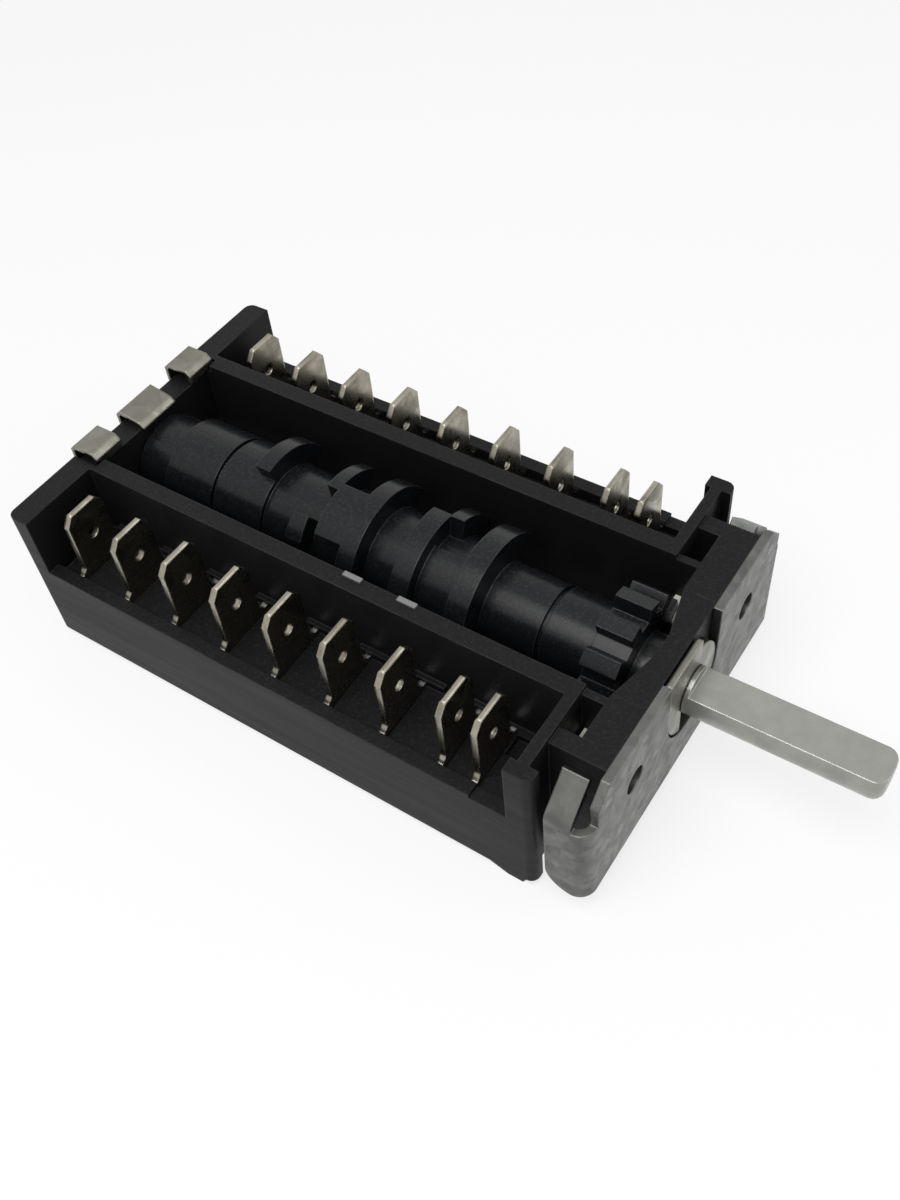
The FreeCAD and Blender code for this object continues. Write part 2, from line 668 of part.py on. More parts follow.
# Cam drum: one moulding with the index wheel at its front, stepped cams along it and a pin behind.
cam_drum = new_body("cam_drum")
drum_steps = ["neck", "neck_groove", "fore", "middle", "aft", "aft_groove", "sleeve",
              "sleeve_groove"]
profile = [("Sizes.journal_front", "0"),
           ("Sizes.journal_front", "Sizes.journal_radius"),
           ("Sizes.wheel_front", "Sizes.journal_radius"),
           ("Sizes.wheel_front", "Sizes.wheel_root_radius"),
           ("Sizes.wheel_rear", "Sizes.wheel_root_radius")]
start = "Sizes.wheel_rear"
for step in drum_steps:
    profile.append((start, "Sizes.%s_radius" % step))
    start = "Sizes.%s_rear" % step
    profile.append((start, "Sizes.%s_radius" % step))
profile += [(start, "Sizes.tail_radius"),
            ("Sizes.drum_rear", "Sizes.tail_radius"),
            ("Sizes.drum_rear", "Sizes.rear_pin_radius"),
            ("Sizes.rear_pin_rear", "Sizes.rear_pin_radius"),
            ("Sizes.rear_pin_rear", "0")]
profile_sketch = new_sketch(cam_drum, "drum_profile", "YZ", "0", "0")
draw_outline(profile_sketch, profile)
turned = cam_drum.newObject("PartDesign::Revolution", "drum_core")
turned.Profile = profile_sketch
turned.ReferenceAxis = (origin_feature(cam_drum, "Y_Axis"), [""])
turned.Angle = 360
cam_drum.Tip = turned
doc.recompute()


def add_cam(name, front, rear, radius, start_angle, end_angle):
    """A cam that stands up between two angles, as a sector about the drum's axis."""
    cam = cam_drum.newObject("PartDesign::AdditiveCylinder", name)
    cam.AttachmentSupport = [(origin_feature(cam_drum, "XZ_Plane"), "")]
    cam.MapMode = "FlatFace"
    cam.setExpression("AttachmentOffset.Base.z", "-(%s)" % rear)
    cam.setExpression("AttachmentOffset.Rotation.Angle", start_angle)
    cam.setExpression("Radius", radius)
    cam.setExpression("Height", "(%s) - (%s)" % (rear, front))
    cam.setExpression("Angle", "(%s) - (%s)" % (end_angle, start_angle))
    cam_drum.Tip = cam
    doc.recompute()
    return cam


for cam in cams:
    add_cam(cam, *["Sizes.%s_%s" % (cam, end) for end in ("front", "rear", "radius", "from", "to")])


def draw_tooth(sketch):
    """One tooth of the index wheel, standing beside the top of the drum."""
    corners = []
    middle = "90 + 180 / Sizes.index_positions"
    for reach, half in (("Sizes.neck_radius", "Sizes.tooth_root_angle / 2"),
                        ("Sizes.wheel_root_radius", "Sizes.tooth_root_angle / 2"),
                        ("Sizes.wheel_tip_radius", "Sizes.tooth_tip_angle / 2")):
        corners.append((reach, "(%s - %s)" % (middle, half)))
    for reach, angle in list(reversed(corners)):
        corners.append((reach, angle.replace(" - Sizes", " + Sizes")))
    draw_outline(sketch, [("%s * cos(%s)" % corner, "%s * sin(%s)" % corner)
                          for corner in corners])


tooth = pad(cam_drum, "first_tooth", "XZ", "Sizes.wheel_front", "Sizes.wheel_rear", draw_tooth)
wheel = cam_drum.newObject("PartDesign::PolarPattern", "index_wheel")
wheel.Originals = [tooth]
wheel.Axis = (origin_feature(cam_drum, "Y_Axis"), [""])
wheel.Angle = 360
wheel.setExpression("Occurrences", "Sizes.index_positions")
cam_drum.Tip = wheel
doc.recompute()
pocket(cam_drum, "shaft_bore", "XZ", "Sizes.journal_front", "Sizes.bore_rear", lambda sketch:
       draw_circle(sketch, "0", "0", "Sizes.shaft_radius + Sizes.shaft_fit"))
pad(cam_drum, "bore_flat", "XZ", "Sizes.wheel_rear", "Sizes.bore_rear", lambda sketch:
    draw_rectangle(sketch, "-Sizes.shaft_radius", "Sizes.shaft_radius",
                   "Sizes.shaft_flat + Sizes.shaft_fit", "Sizes.shaft_radius + Sizes.shaft_fit"))


# Shaft: steel bar with a flat for the knob at its front, a groove for its clip, and a second
# flat that turns the drum.
shaft = new_body("shaft")
pad(shaft, "bar", "XZ", "-Sizes.shaft_tip", "Sizes.shaft_rear", lambda sketch:
    draw_circle(sketch, "0", "0", "Sizes.shaft_radius"))


def add_tip_bevel(body, name, place, width):
    """A bevelled rim where a bar ends."""
    base = body.Tip
    rims = ["Edge%d" % number for number, edge in enumerate(body.Shape.Edges, start=1)
            if edge.Closed and near(edge.BoundBox.YMin, place) and near(edge.BoundBox.YMax, place)]
    feature = body.newObject("PartDesign::Chamfer", name)
    feature.Base = (base, rims)
    feature.setExpression("Size", width)
    body.Tip = feature
    doc.recompute()


add_tip_bevel(shaft, "tip_bevel", -size("shaft_tip"), "Sizes.shaft_tip_bevel")
pocket(shaft, "knob_flat", "XZ", "-Sizes.shaft_tip", "-Sizes.knob_flat_rear", lambda sketch:
       draw_rectangle(sketch, "-Sizes.shaft_radius - %g" % PAST, "Sizes.shaft_radius + %g" % PAST,
                      "Sizes.shaft_flat", "Sizes.shaft_radius + %g" % PAST))
pocket(shaft, "drum_flat", "XZ", "Sizes.drum_flat_front", "Sizes.shaft_rear", lambda sketch:
       draw_rectangle(sketch, "-Sizes.shaft_radius - %g" % PAST, "Sizes.shaft_radius + %g" % PAST,
                      "Sizes.shaft_flat", "Sizes.shaft_radius + %g" % PAST))


def draw_ring(sketch):
    """A ring from the groove's floor to outside the shaft."""
    draw_circle(sketch, "0", "0", "Sizes.shaft_radius + %g" % PAST)
    draw_circle(sketch, "0", "0", "Sizes.clip_groove_radius")


pocket(shaft, "clip_groove", "XZ", "Sizes.clip_groove_front", "Sizes.clip_groove_rear", draw_ring)


# Shaft clip: a stamped horseshoe that lies in the bracket's gate and in the shaft's groove.
shaft_clip = new_body("shaft_clip")
CLIP_RADIUS = "(Sizes.gate_radius - Sizes.shaft_clip_gap)"
CLIP_FRONT = "((Sizes.clip_groove_front + Sizes.clip_groove_rear - Sizes.shaft_clip_sheet) / 2)"
CLIP_REAR = "(%s + Sizes.shaft_clip_sheet)" % CLIP_FRONT
pad(shaft_clip, "clip_round", "XZ", CLIP_FRONT, CLIP_REAR, lambda sketch:
    draw_circle(sketch, "0", "0", CLIP_RADIUS))
pad(shaft_clip, "clip_lug", "XZ", CLIP_FRONT, CLIP_REAR, lambda sketch:
    draw_rectangle(sketch, "-" + CLIP_RADIUS, "Sizes.shaft_clip_lug", "0", "Sizes.shaft_clip_top"))
CLIP_SLOT = "(Sizes.clip_groove_radius + Sizes.journal_clearance)"
pocket(shaft_clip, "clip_bore", "XZ", CLIP_FRONT, CLIP_REAR, lambda sketch:
       draw_circle(sketch, "0", "0", CLIP_SLOT))
pocket(shaft_clip, "clip_mouth", "XZ", CLIP_FRONT, CLIP_REAR, lambda sketch:
       draw_rectangle(sketch, "-" + CLIP_SLOT, CLIP_SLOT, "-Sizes.gate_radius", "0"))


# Mounting bracket: folded from zinc-plated sheet, with a flange down each side and a lug folded
# in at 45 degrees on top of each flange.
bracket = new_body("mounting_bracket")
bracket_half = half_width - size("bracket_inset")
BRACKET_INNER = "(%s - Sizes.bracket_sheet)" % BRACKET_HALF
pad(bracket, "folded_sheet", "XY", "Sizes.bracket_bottom", "Sizes.lug_foot", lambda sketch:
    draw_outline(sketch, [
        ("-" + BRACKET_HALF, "0"),
        (BRACKET_HALF, "0"),
        (BRACKET_HALF, "Sizes.bracket_depth"),
        (BRACKET_INNER, "Sizes.bracket_depth"),
        (BRACKET_INNER, "Sizes.bracket_sheet"),
        ("-" + BRACKET_INNER, "Sizes.bracket_sheet"),
        ("-" + BRACKET_INNER, "Sizes.bracket_depth"),
        ("-" + BRACKET_HALF, "Sizes.bracket_depth")]))
fillet(bracket, "outer_bends", "z", lambda point:
       near(abs(point.x), bracket_half) and near(point.y, 0), "Sizes.bracket_bend")
fillet(bracket, "inner_bends", "z", lambda point:
       near(abs(point.x), bracket_half - size("bracket_sheet"))
       and near(point.y, size("bracket_sheet")), "Sizes.bracket_bend - Sizes.bracket_sheet")
fillet(bracket, "flange_corners", "x", lambda point:
       near(point.z, size("bracket_bottom")) and near(point.y, size("bracket_depth")),
       "Sizes.bracket_corner")
PLATE_EDGE = "(%s - Sizes.bracket_bend)" % BRACKET_HALF
pad(bracket, "plate_top", "XZ", "0", "Sizes.bracket_sheet", lambda sketch: draw_outline(
    sketch, [
        ("-" + PLATE_EDGE, "Sizes.lug_foot"),
        (PLATE_EDGE, "Sizes.lug_foot"),
        (PLATE_EDGE, "Sizes.plate_corner"),
        (PLATE_EDGE + " - Sizes.bracket_top + Sizes.plate_corner", "Sizes.bracket_top"),
        ("-(%s - Sizes.bracket_top + Sizes.plate_corner)" % PLATE_EDGE, "Sizes.bracket_top"),
        ("-" + PLATE_EDGE, "Sizes.plate_corner")]))
LUG_DROP = "Sizes.bracket_sheet / sqrt(2)"
LUG_INNER = "(%s - Sizes.lug_reach)" % BRACKET_HALF
LUG_TOP = "(Sizes.lug_bend + Sizes.lug_reach)"


def draw_lugs(sketch):
    """The sections of the two lugs that lean in from the flanges' tops."""
    for side in (-1, 1):
        draw_outline(sketch, [
            (mirrored(side, BRACKET_HALF), "Sizes.lug_foot"),
            (mirrored(side, BRACKET_HALF), "Sizes.lug_bend"),
            (mirrored(side, LUG_INNER), LUG_TOP),
            (mirrored(side, "%s - %s" % (LUG_INNER, LUG_DROP)), "%s - %s" % (LUG_TOP, LUG_DROP)),
            (mirrored(side, BRACKET_INNER),
             "Sizes.lug_bend + Sizes.bracket_sheet - Sizes.bracket_sheet * sqrt(2)"),
            (mirrored(side, BRACKET_INNER), "Sizes.lug_foot")])


pad(bracket, "lugs", "XZ", "Sizes.bracket_bend + Sizes.lug_slit", "Sizes.bracket_depth", draw_lugs)
fillet(bracket, "lug_bends", "y", lambda point:
       near(abs(point.x), bracket_half) and near(point.z, size("lug_bend")),
       "Sizes.lug_bend_radius")


def draw_screw_holes(sketch):
    """The two fixing holes."""
    for side in (-1, 1):
        draw_circle(sketch, mirrored(side, "Sizes.screw_spacing / 2"), "0",
                    "Sizes.screw_hole_radius")


pocket(bracket, "screw_holes", "XZ", "0", "Sizes.bracket_sheet", draw_screw_holes)
pocket(bracket, "gate_round", "XZ", "0", "Sizes.bracket_sheet", lambda sketch:
       draw_circle(sketch, "0", "0", "Sizes.gate_radius"))
pocket(bracket, "gate_mouth", "XZ", "0", "Sizes.bracket_sheet", lambda sketch:
       draw_rectangle(sketch, "-Sizes.gate_radius", "Sizes.gate_radius",
                      "0", "Sizes.bracket_top + %g" % PAST))


# Rear spring clip: a steel plate behind the rear wall with two arched fingers and a tongue that
# reach over the wall to the drum's tail.
rear_clip = new_body("rear_spring_clip")
CLIP_BACK = "(Sizes.housing_rear + Sizes.clip_gap)"
pad(rear_clip, "clip_plate", "XZ", CLIP_BACK, CLIP_BACK + " + Sizes.clip_sheet", lambda sketch:
    draw_rectangle(sketch, "-Sizes.clip_half_width", "Sizes.clip_half_width",
                   "Sizes.clip_bottom", "Sizes.clip_shoulder"))


def draw_arch(back, front, crest, crest_front, tip):
    """The section of a strip that rises behind the wall, bends over it and ends in front."""
    def draw(sketch):
        draw_outline(sketch, [
            (CLIP_BACK + " + Sizes.clip_sheet", "Sizes.clip_shoulder - Sizes.clip_sheet"),
            (back, "Sizes.clip_shoulder + 3 * Sizes.clip_sheet"),
            (back, crest + " - Sizes.arch_bend"),
            (back + " - Sizes.arch_bend", crest),
            (front + " + Sizes.arch_bend", crest_front),
            (front, crest_front + " - Sizes.arch_bend"),
            (front, tip),
            (front + " + Sizes.clip_sheet", tip),
            (front + " + Sizes.clip_sheet",
             crest_front + " - Sizes.arch_bend - Sizes.clip_sheet * tan(22.5)"),
            (front + " + Sizes.arch_bend + Sizes.clip_sheet * tan(22.5)",
             crest_front + " - Sizes.clip_sheet"),
            (back + " - Sizes.arch_bend - Sizes.clip_sheet * tan(22.5)",
             crest + " - Sizes.clip_sheet"),
            (back + " - Sizes.clip_sheet",
             crest + " - Sizes.arch_bend - Sizes.clip_sheet * tan(22.5)"),
            (back + " - Sizes.clip_sheet", "Sizes.clip_shoulder + 3 * Sizes.clip_sheet"),
            (CLIP_BACK, "Sizes.clip_shoulder - Sizes.clip_sheet")])
    return draw


draw_finger = draw_arch("Sizes.finger_back", "Sizes.finger_front", "Sizes.finger_crest",
                        "Sizes.finger_crest", "Sizes.finger_tip")
pad(rear_clip, "finger_left", "YZ", "-Sizes.clip_half_width",
    "-Sizes.clip_half_width + Sizes.finger_width", draw_finger)
pad(rear_clip, "finger_right", "YZ", "Sizes.clip_half_width - Sizes.finger_width",
    "Sizes.clip_half_width", draw_finger)
pad(rear_clip, "tongue", "YZ", "-Sizes.tongue_half_width", "Sizes.tongue_half_width",
    draw_arch("Sizes.tongue_back", "Sizes.tongue_front", "Sizes.tongue_crest",
              "Sizes.tongue_front_crest", "Sizes.tongue_tip"))


# Detent plungers: one in the pocket at each side of the index wheel, its rounded nose in a gap
# between two teeth and its flat back against its spring.
plungers = {}
for side, word in ((-1, "left"), (1, "right")):
    plunger = new_body("detent_plunger_" + word)
    plungers[word] = plunger
    plunger_front = PLUNGER_Y + " - Sizes.plunger_head / 2"
    plunger_rear = PLUNGER_Y + " + Sizes.plunger_head / 2"
    pad(plunger, "nose_" + word, "XZ", plunger_front, plunger_rear, lambda sketch:
        draw_circle(sketch, mirrored(side, "Sizes.nose_tip + Sizes.nose_radius"), "0",
                    "Sizes.nose_radius"))
    pad(plunger, "head_" + word, "XZ", plunger_front, plunger_rear, lambda sketch:
        draw_rectangle(sketch, mirrored(side, "Sizes.nose_tip + Sizes.nose_radius"),
                       mirrored(side, "Sizes.plunger_back"),
                       "-Sizes.nose_radius", "Sizes.nose_radius"))


# Detent springs: a hairpin of flat strip stands in each pocket, between the plunger's back and
# the pocket's outer wall.
springs = []
SPRING_FRONT = "(Sizes.plunger_back + Sizes.spring_gap)"
SPRING_END = "(Sizes.pocket_outer - Sizes.spring_gap)"
SPRING_FOOT = "(Sizes.pocket_floor + Sizes.spring_gap)"
for side, word in ((-1, "left"), (1, "right")):
    spring = new_body("detent_spring_" + word)
    springs.append(spring)

    def draw_hairpin(sketch):
        bend = "Sizes.spring_bend"
        turn = "Sizes.spring_strip * tan(22.5)"
        corners = [
            (SPRING_END, "Sizes.spring_top"),
            (SPRING_END, "%s + %s" % (SPRING_FOOT, bend)),
            ("%s - %s" % (SPRING_END, bend), SPRING_FOOT),
            ("%s + %s" % (SPRING_FRONT, bend), SPRING_FOOT),
            (SPRING_FRONT, "%s + %s" % (SPRING_FOOT, bend)),
            (SPRING_FRONT, "Sizes.spring_top"),
            (SPRING_FRONT + " + Sizes.spring_strip", "Sizes.spring_top"),
            (SPRING_FRONT + " + Sizes.spring_strip", "%s + %s + %s" % (SPRING_FOOT, bend, turn)),
            ("%s + %s + %s" % (SPRING_FRONT, bend, turn), SPRING_FOOT + " + Sizes.spring_strip"),
            ("%s - %s - %s" % (SPRING_END, bend, turn), SPRING_FOOT + " + Sizes.spring_strip"),
            (SPRING_END + " - Sizes.spring_strip", "%s + %s + %s" % (SPRING_FOOT, bend, turn)),
            (SPRING_END + " - Sizes.spring_strip", "Sizes.spring_top")]
        draw_outline(sketch, [(mirrored(side, across), up) for across, up in corners])

    pad(spring, "hairpin_" + word, "XZ", PLUNGER_Y + " - Sizes.spring_width / 2",
        PLUNGER_Y + " + Sizes.spring_width / 2", draw_hairpin)


# Terminals: tin-plated blades stamped with shoulders that stand on the deck, a leg through it and
# a foot folded forward under it, which the contact leaf is welded to.
def draw_terminal(side, foot):
    """A terminal's front view: blade, shoulders and leg, with the hole in the blade."""
    half = "Sizes.blade_width / 2"
    shoulder = "(Sizes.deck_top + Sizes.shoulder_height)"

    def draw(sketch):
        corners = [
            (LEG_OUTER, foot),
            (LEG_OUTER, "Sizes.deck_top"),
            (SHOULDER_OUTER, "Sizes.deck_top"),
            (SHOULDER_OUTER, shoulder),
            ("%s - Sizes.shoulder_flat_outer" % SHOULDER_OUTER, shoulder),
            (BLADE_X + " + " + half, shoulder + " + Sizes.blade_root"),
            (BLADE_X + " + " + half, "Sizes.blade_top - Sizes.blade_bevel_z"),
            (BLADE_X + " + %s - Sizes.blade_bevel_x" % half, "Sizes.blade_top"),
            (BLADE_X + " - %s + Sizes.blade_bevel_x" % half, "Sizes.blade_top"),
            (BLADE_X + " - " + half, "Sizes.blade_top - Sizes.blade_bevel_z"),
            (BLADE_X + " - " + half, shoulder + " + Sizes.blade_root"),
            ("%s + Sizes.shoulder_flat_inner" % SHOULDER_INNER, shoulder),
            (SHOULDER_INNER, shoulder),
            (SHOULDER_INNER, "Sizes.deck_top"),
            (LEG_INNER, "Sizes.deck_top"),
            (LEG_INNER, foot)]
        draw_outline(sketch, [(mirrored(side, across), up) for across, up in corners])
        draw_circle(sketch, mirrored(side, BLADE_X), "Sizes.blade_hole_z",
                    "Sizes.blade_hole_radius")
    return draw


def bevel_blade(body, name):
    """The coined bevel round the blade's free edges."""
    chamfer(body, name, "x", lambda point: near(point.z, size("blade_top")),
            "Sizes.blade_edge_bevel")


metal_parts = []
for side, word in ((-1, "left"), (1, "right")):
    for number in range(int(size("poles"))):
        name = "terminal_%s_%d" % (word, number + 1)
        terminal = new_body(name)
        blade_front = terminal_y(number, "-Sizes.blade_thickness / 2")
        blade_rear = terminal_y(number, "Sizes.blade_thickness / 2")
        pad(terminal, "blade_%s_%d" % (word, number + 1), "XZ", blade_front, blade_rear,
            draw_terminal(side, FOOT_UNDER))
        pad(terminal, "foot_%s_%d" % (word, number + 1), "XY", FOOT_UNDER, DECK_UNDER,
            lambda sketch: draw_rectangle(
                sketch, mirrored(side, LEG_FOOT_INNER), mirrored(side, LEG_OUTER),
                terminal_y(number, "-Sizes.blade_thickness / 2 - Sizes.foot_length"), blade_rear))
        bevel_blade(terminal, "bevel_%s_%d" % (word, number + 1))
        metal_parts.append(terminal)

        # Contact leaf: a strip of spring bronze from the foot, through the wall, to its cam.
        leaf = new_body("contact_leaf_%s_%d" % (word, number + 1))
        leaf_front = terminal_y(number, "-Sizes.blade_thickness / 2 - Sizes.leaf_width")
        leaf_rear = terminal_y(number, "-Sizes.blade_thickness / 2")
        leaf_middle = terminal_y(number, "-(Sizes.blade_thickness + Sizes.leaf_width) / 2")

        def draw_leaf(sketch):
            corners = [(LEAF_END, leaf_front), (LEAF_END, leaf_rear),
                       (TROUGH_OUTER, leaf_rear),
                       ("Sizes.leaf_nose", leaf_middle + " + Sizes.leaf_nose_width / 2"),
                       ("Sizes.leaf_nose", leaf_middle + " - Sizes.leaf_nose_width / 2"),
                       (TROUGH_OUTER, leaf_front)]
            draw_outline(sketch, [(mirrored(side, across), up) for across, up in corners])

        pad(leaf, "strip_%s_%d" % (word, number + 1), "XY", LEAF_UNDER, FOOT_UNDER, draw_leaf)
        metal_parts.append(leaf)

    # Bus bar: one stamping with the ninth blade at its front.
    bus = new_body("bus_bar_" + word)
    bus_front = "(Sizes.bus_terminal - Sizes.blade_thickness / 2)"
    bus_rear = "(Sizes.bus_terminal + Sizes.blade_thickness / 2)"
    pad(bus, "bus_blade_" + word, "XZ", bus_front, bus_rear, draw_terminal(side, BUS_UNDER))

    def draw_bus(sketch):
        draw_rectangle(sketch, mirrored(side, CONTACT_X + " - Sizes.bus_half_width"),
                       mirrored(side, CONTACT_X + " + Sizes.bus_half_width"),
                       bus_front, "Sizes.bus_rear")

    pad(bus, "bus_strip_" + word, "XY", BUS_UNDER, BUS_TOP, draw_bus)
    bevel_blade(bus, "bus_bevel_" + word)
    metal_parts.append(bus)


def contacts(side, face, rise):
    """Eight contact buttons in a row, welded on the face of a strip and rising from it."""
    row = []
    contact_x = size("trough_radius") + size("trough_wall") + size("contact_inset")
    for number in range(int(size("poles"))):
        y = (size("first_terminal") + number * size("pole_pitch")
             - (size("blade_thickness") + size("leaf_width")) / 2)
        corners = []
        for corner in range(13):
            angle = math.radians(30 * corner)
            corners.append(FreeCAD.Vector(side * contact_x + size("contact_radius")
                                          * math.cos(angle),
                                          y + size("contact_radius") * math.sin(angle), face))
        outline = Part.Face(Part.makePolygon(corners))
        row.append(outline.extrude(FreeCAD.Vector(0, 0, rise)))
    return Part.makeCompound(row)


leaf_under = (size("deck_top") - size("deck_thickness") - size("blade_thickness")
              - size("leaf_thickness"))
bus_top = leaf_under - 2 * size("contact_height")
for side, word in ((-1, "left"), (1, "right")):
    metal_parts.append(solid_feature("leaf_contacts_" + word,
                                     contacts(side, leaf_under, -size("contact_height")),
                                     FreeCAD.Placement()))
    metal_parts.append(solid_feature("bus_contacts_" + word,
                                     contacts(side, bus_top, size("contact_height")),
                                     FreeCAD.Placement()))

nodes = [housing, bearing_cap, bottom_cover, cam_drum, shaft, shaft_clip, bracket, rear_clip]
nodes += list(plungers.values()) + springs + metal_parts
doc.recompute()
for item in doc.Objects:
    if "Invalid" in item.State or "Error" in item.State:
        raise RuntimeError(item.Name + " does not build")
for node in nodes:
    if node.Shape.isNull() or not node.Shape.isValid():
        raise RuntimeError(node.Label + " has no sound shape")
os.makedirs("parts", exist_ok=True)
for node in nodes:
    node.Shape.exportStep("parts/%s.step" % node.Label)
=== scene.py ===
import math
import bmesh
import bpy
from mathutils import Matrix, Vector


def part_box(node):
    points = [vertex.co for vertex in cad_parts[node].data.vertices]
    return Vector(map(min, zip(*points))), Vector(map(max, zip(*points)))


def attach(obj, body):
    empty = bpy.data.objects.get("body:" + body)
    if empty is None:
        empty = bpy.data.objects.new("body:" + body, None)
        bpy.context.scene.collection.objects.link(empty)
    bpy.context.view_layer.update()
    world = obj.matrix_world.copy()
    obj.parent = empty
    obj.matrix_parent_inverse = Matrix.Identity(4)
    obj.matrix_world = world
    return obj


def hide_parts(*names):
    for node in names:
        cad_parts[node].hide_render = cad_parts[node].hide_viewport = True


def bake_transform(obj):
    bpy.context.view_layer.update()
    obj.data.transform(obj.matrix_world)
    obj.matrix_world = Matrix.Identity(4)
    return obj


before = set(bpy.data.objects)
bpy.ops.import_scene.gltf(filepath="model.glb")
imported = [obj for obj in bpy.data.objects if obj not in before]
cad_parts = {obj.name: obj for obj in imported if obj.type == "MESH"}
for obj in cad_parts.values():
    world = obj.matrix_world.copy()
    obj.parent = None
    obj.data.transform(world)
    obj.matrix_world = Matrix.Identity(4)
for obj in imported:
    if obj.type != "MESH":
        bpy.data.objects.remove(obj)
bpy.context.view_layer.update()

# Housing, front bearing cap and bottom cover: three mouldings of black thermosetting plastic with
# a satin skin. The cap is let into the top of the housing's front block, and the cover closes the
# housing from below on three stakes.

# The skin of every moulding is one shared effect: fine grain, soft cloudy patches, flow marks,
# rubbed edges and dust on what faces up.
moulded = bpy.data.node_groups.new("moulded_surface", "ShaderNodeTree")
for label, kind, start in (("Colour", "NodeSocketColor", (0.03, 0.03, 0.03, 1)),
                           ("Rubbed colour", "NodeSocketColor", (0.12, 0.12, 0.12, 1)),
                           ("Dust colour", "NodeSocketColor", (0.3, 0.29, 0.27, 1)),
                           ("Roughness", "NodeSocketFloat", 0.4),
                           ("Grain depth", "NodeSocketFloat", 0.3),
                           ("Rubbing", "NodeSocketFloat", 0.5),
                           ("Dust", "NodeSocketFloat", 0.1)):
    socket = moulded.interface.new_socket(label, in_out="INPUT", socket_type=kind)
    socket.default_value = start
for label, kind in (("Colour", "NodeSocketColor"), ("Roughness", "NodeSocketFloat"),
                    ("Normal", "NodeSocketVector")):
    moulded.interface.new_socket(label, in_out="OUTPUT", socket_type=kind)
nodes, links = moulded.nodes, moulded.links
given = nodes.new("NodeGroupInput")
result = nodes.new("NodeGroupOutput")
place = nodes.new("ShaderNodeTexCoord")
shape = nodes.new("ShaderNodeNewGeometry")
grain = nodes.new("ShaderNodeTexNoise")
grain.inputs["Scale"].default_value = 2600
grain.inputs["Detail"].default_value = 3
links.new(place.outputs["Object"], grain.inputs["Vector"])
cloud = nodes.new("ShaderNodeTexNoise")
cloud.inputs["Scale"].default_value = 130
cloud.inputs["Detail"].default_value = 6
cloud.inputs["Roughness"].default_value = 0.65
links.new(place.outputs["Object"], cloud.inputs["Vector"])
stretch = nodes.new("ShaderNodeMapping")
stretch.inputs["Scale"].default_value = (260, 40, 700)
links.new(place.outputs["Object"], stretch.inputs["Vector"])
flow = nodes.new("ShaderNodeTexNoise")
flow.inputs["Scale"].default_value = 1
flow.inputs["Detail"].default_value = 4
links.new(stretch.outputs["Vector"], flow.inputs["Vector"])

# Edges are found where the rounded normal turns away from the face's own, and rubbed in patches.
rounded = nodes.new("ShaderNodeBevel")
rounded.samples = 6
rounded.inputs["Radius"].default_value = 0.00022
agree = nodes.new("ShaderNodeVectorMath")
agree.operation = "DOT_PRODUCT"
links.new(rounded.outputs["Normal"], agree.inputs[0])
links.new(shape.outputs["Normal"], agree.inputs[1])
edge = nodes.new("ShaderNodeMapRange")
edge.inputs["From Min"].default_value = 0.995
edge.inputs["From Max"].default_value = 0.86
links.new(agree.outputs["Value"], edge.inputs["Value"])
patchy = nodes.new("ShaderNodeMapRange")
patchy.inputs["From Min"].default_value = 0.36
patchy.inputs["From Max"].default_value = 0.62
links.new(cloud.outputs["Fac"], patchy.inputs["Value"])
worn = nodes.new("ShaderNodeMath")
worn.operation = "MULTIPLY"
links.new(edge.outputs["Result"], worn.inputs[0])
links.new(patchy.outputs["Result"], worn.inputs[1])
worn_amount = nodes.new("ShaderNodeMath")
worn_amount.operation = "MULTIPLY"
links.new(worn.outputs["Value"], worn_amount.inputs[0])
links.new(given.outputs["Rubbing"], worn_amount.inputs[1])
tint = nodes.new("ShaderNodeMix")
tint.data_type = "RGBA"
links.new(worn_amount.outputs["Value"], tint.inputs["Factor"])
links.new(given.outputs["Colour"], tint.inputs["A"])
links.new(given.outputs["Rubbed colour"], tint.inputs["B"])

# Dust lies in specks on the faces that look up.
facing = nodes.new("ShaderNodeSeparateXYZ")
links.new(shape.outputs["Normal"], facing.inputs["Vector"])
settle = nodes.new("ShaderNodeMapRange")
settle.inputs["From Min"].default_value = 0.3
settle.inputs["From Max"].default_value = 0.95
links.new(facing.outputs["Z"], settle.inputs["Value"])
specks = nodes.new("ShaderNodeMapRange")
specks.inputs["From Min"].default_value = 0.5
specks.inputs["From Max"].default_value = 0.78
links.new(grain.outputs["Fac"], specks.inputs["Value"])
dusty = nodes.new("ShaderNodeMath")
dusty.operation = "MULTIPLY"
links.new(settle.outputs["Result"], dusty.inputs[0])
links.new(specks.outputs["Result"], dusty.inputs[1])
dust_amount = nodes.new("ShaderNodeMath")
dust_amount.operation = "MULTIPLY"
links.new(dusty.outputs["Value"], dust_amount.inputs[0])
links.new(given.outputs["Dust"], dust_amount.inputs[1])
dusted = nodes.new("ShaderNodeMix")
dusted.data_type = "RGBA"
links.new(dust_amount.outputs["Value"], dusted.inputs["Factor"])
links.new(tint.outputs["Result"], dusted.inputs["A"])
links.new(given.outputs["Dust colour"], dusted.inputs["B"])
links.new(dusted.outputs["Result"], result.inputs["Colour"])

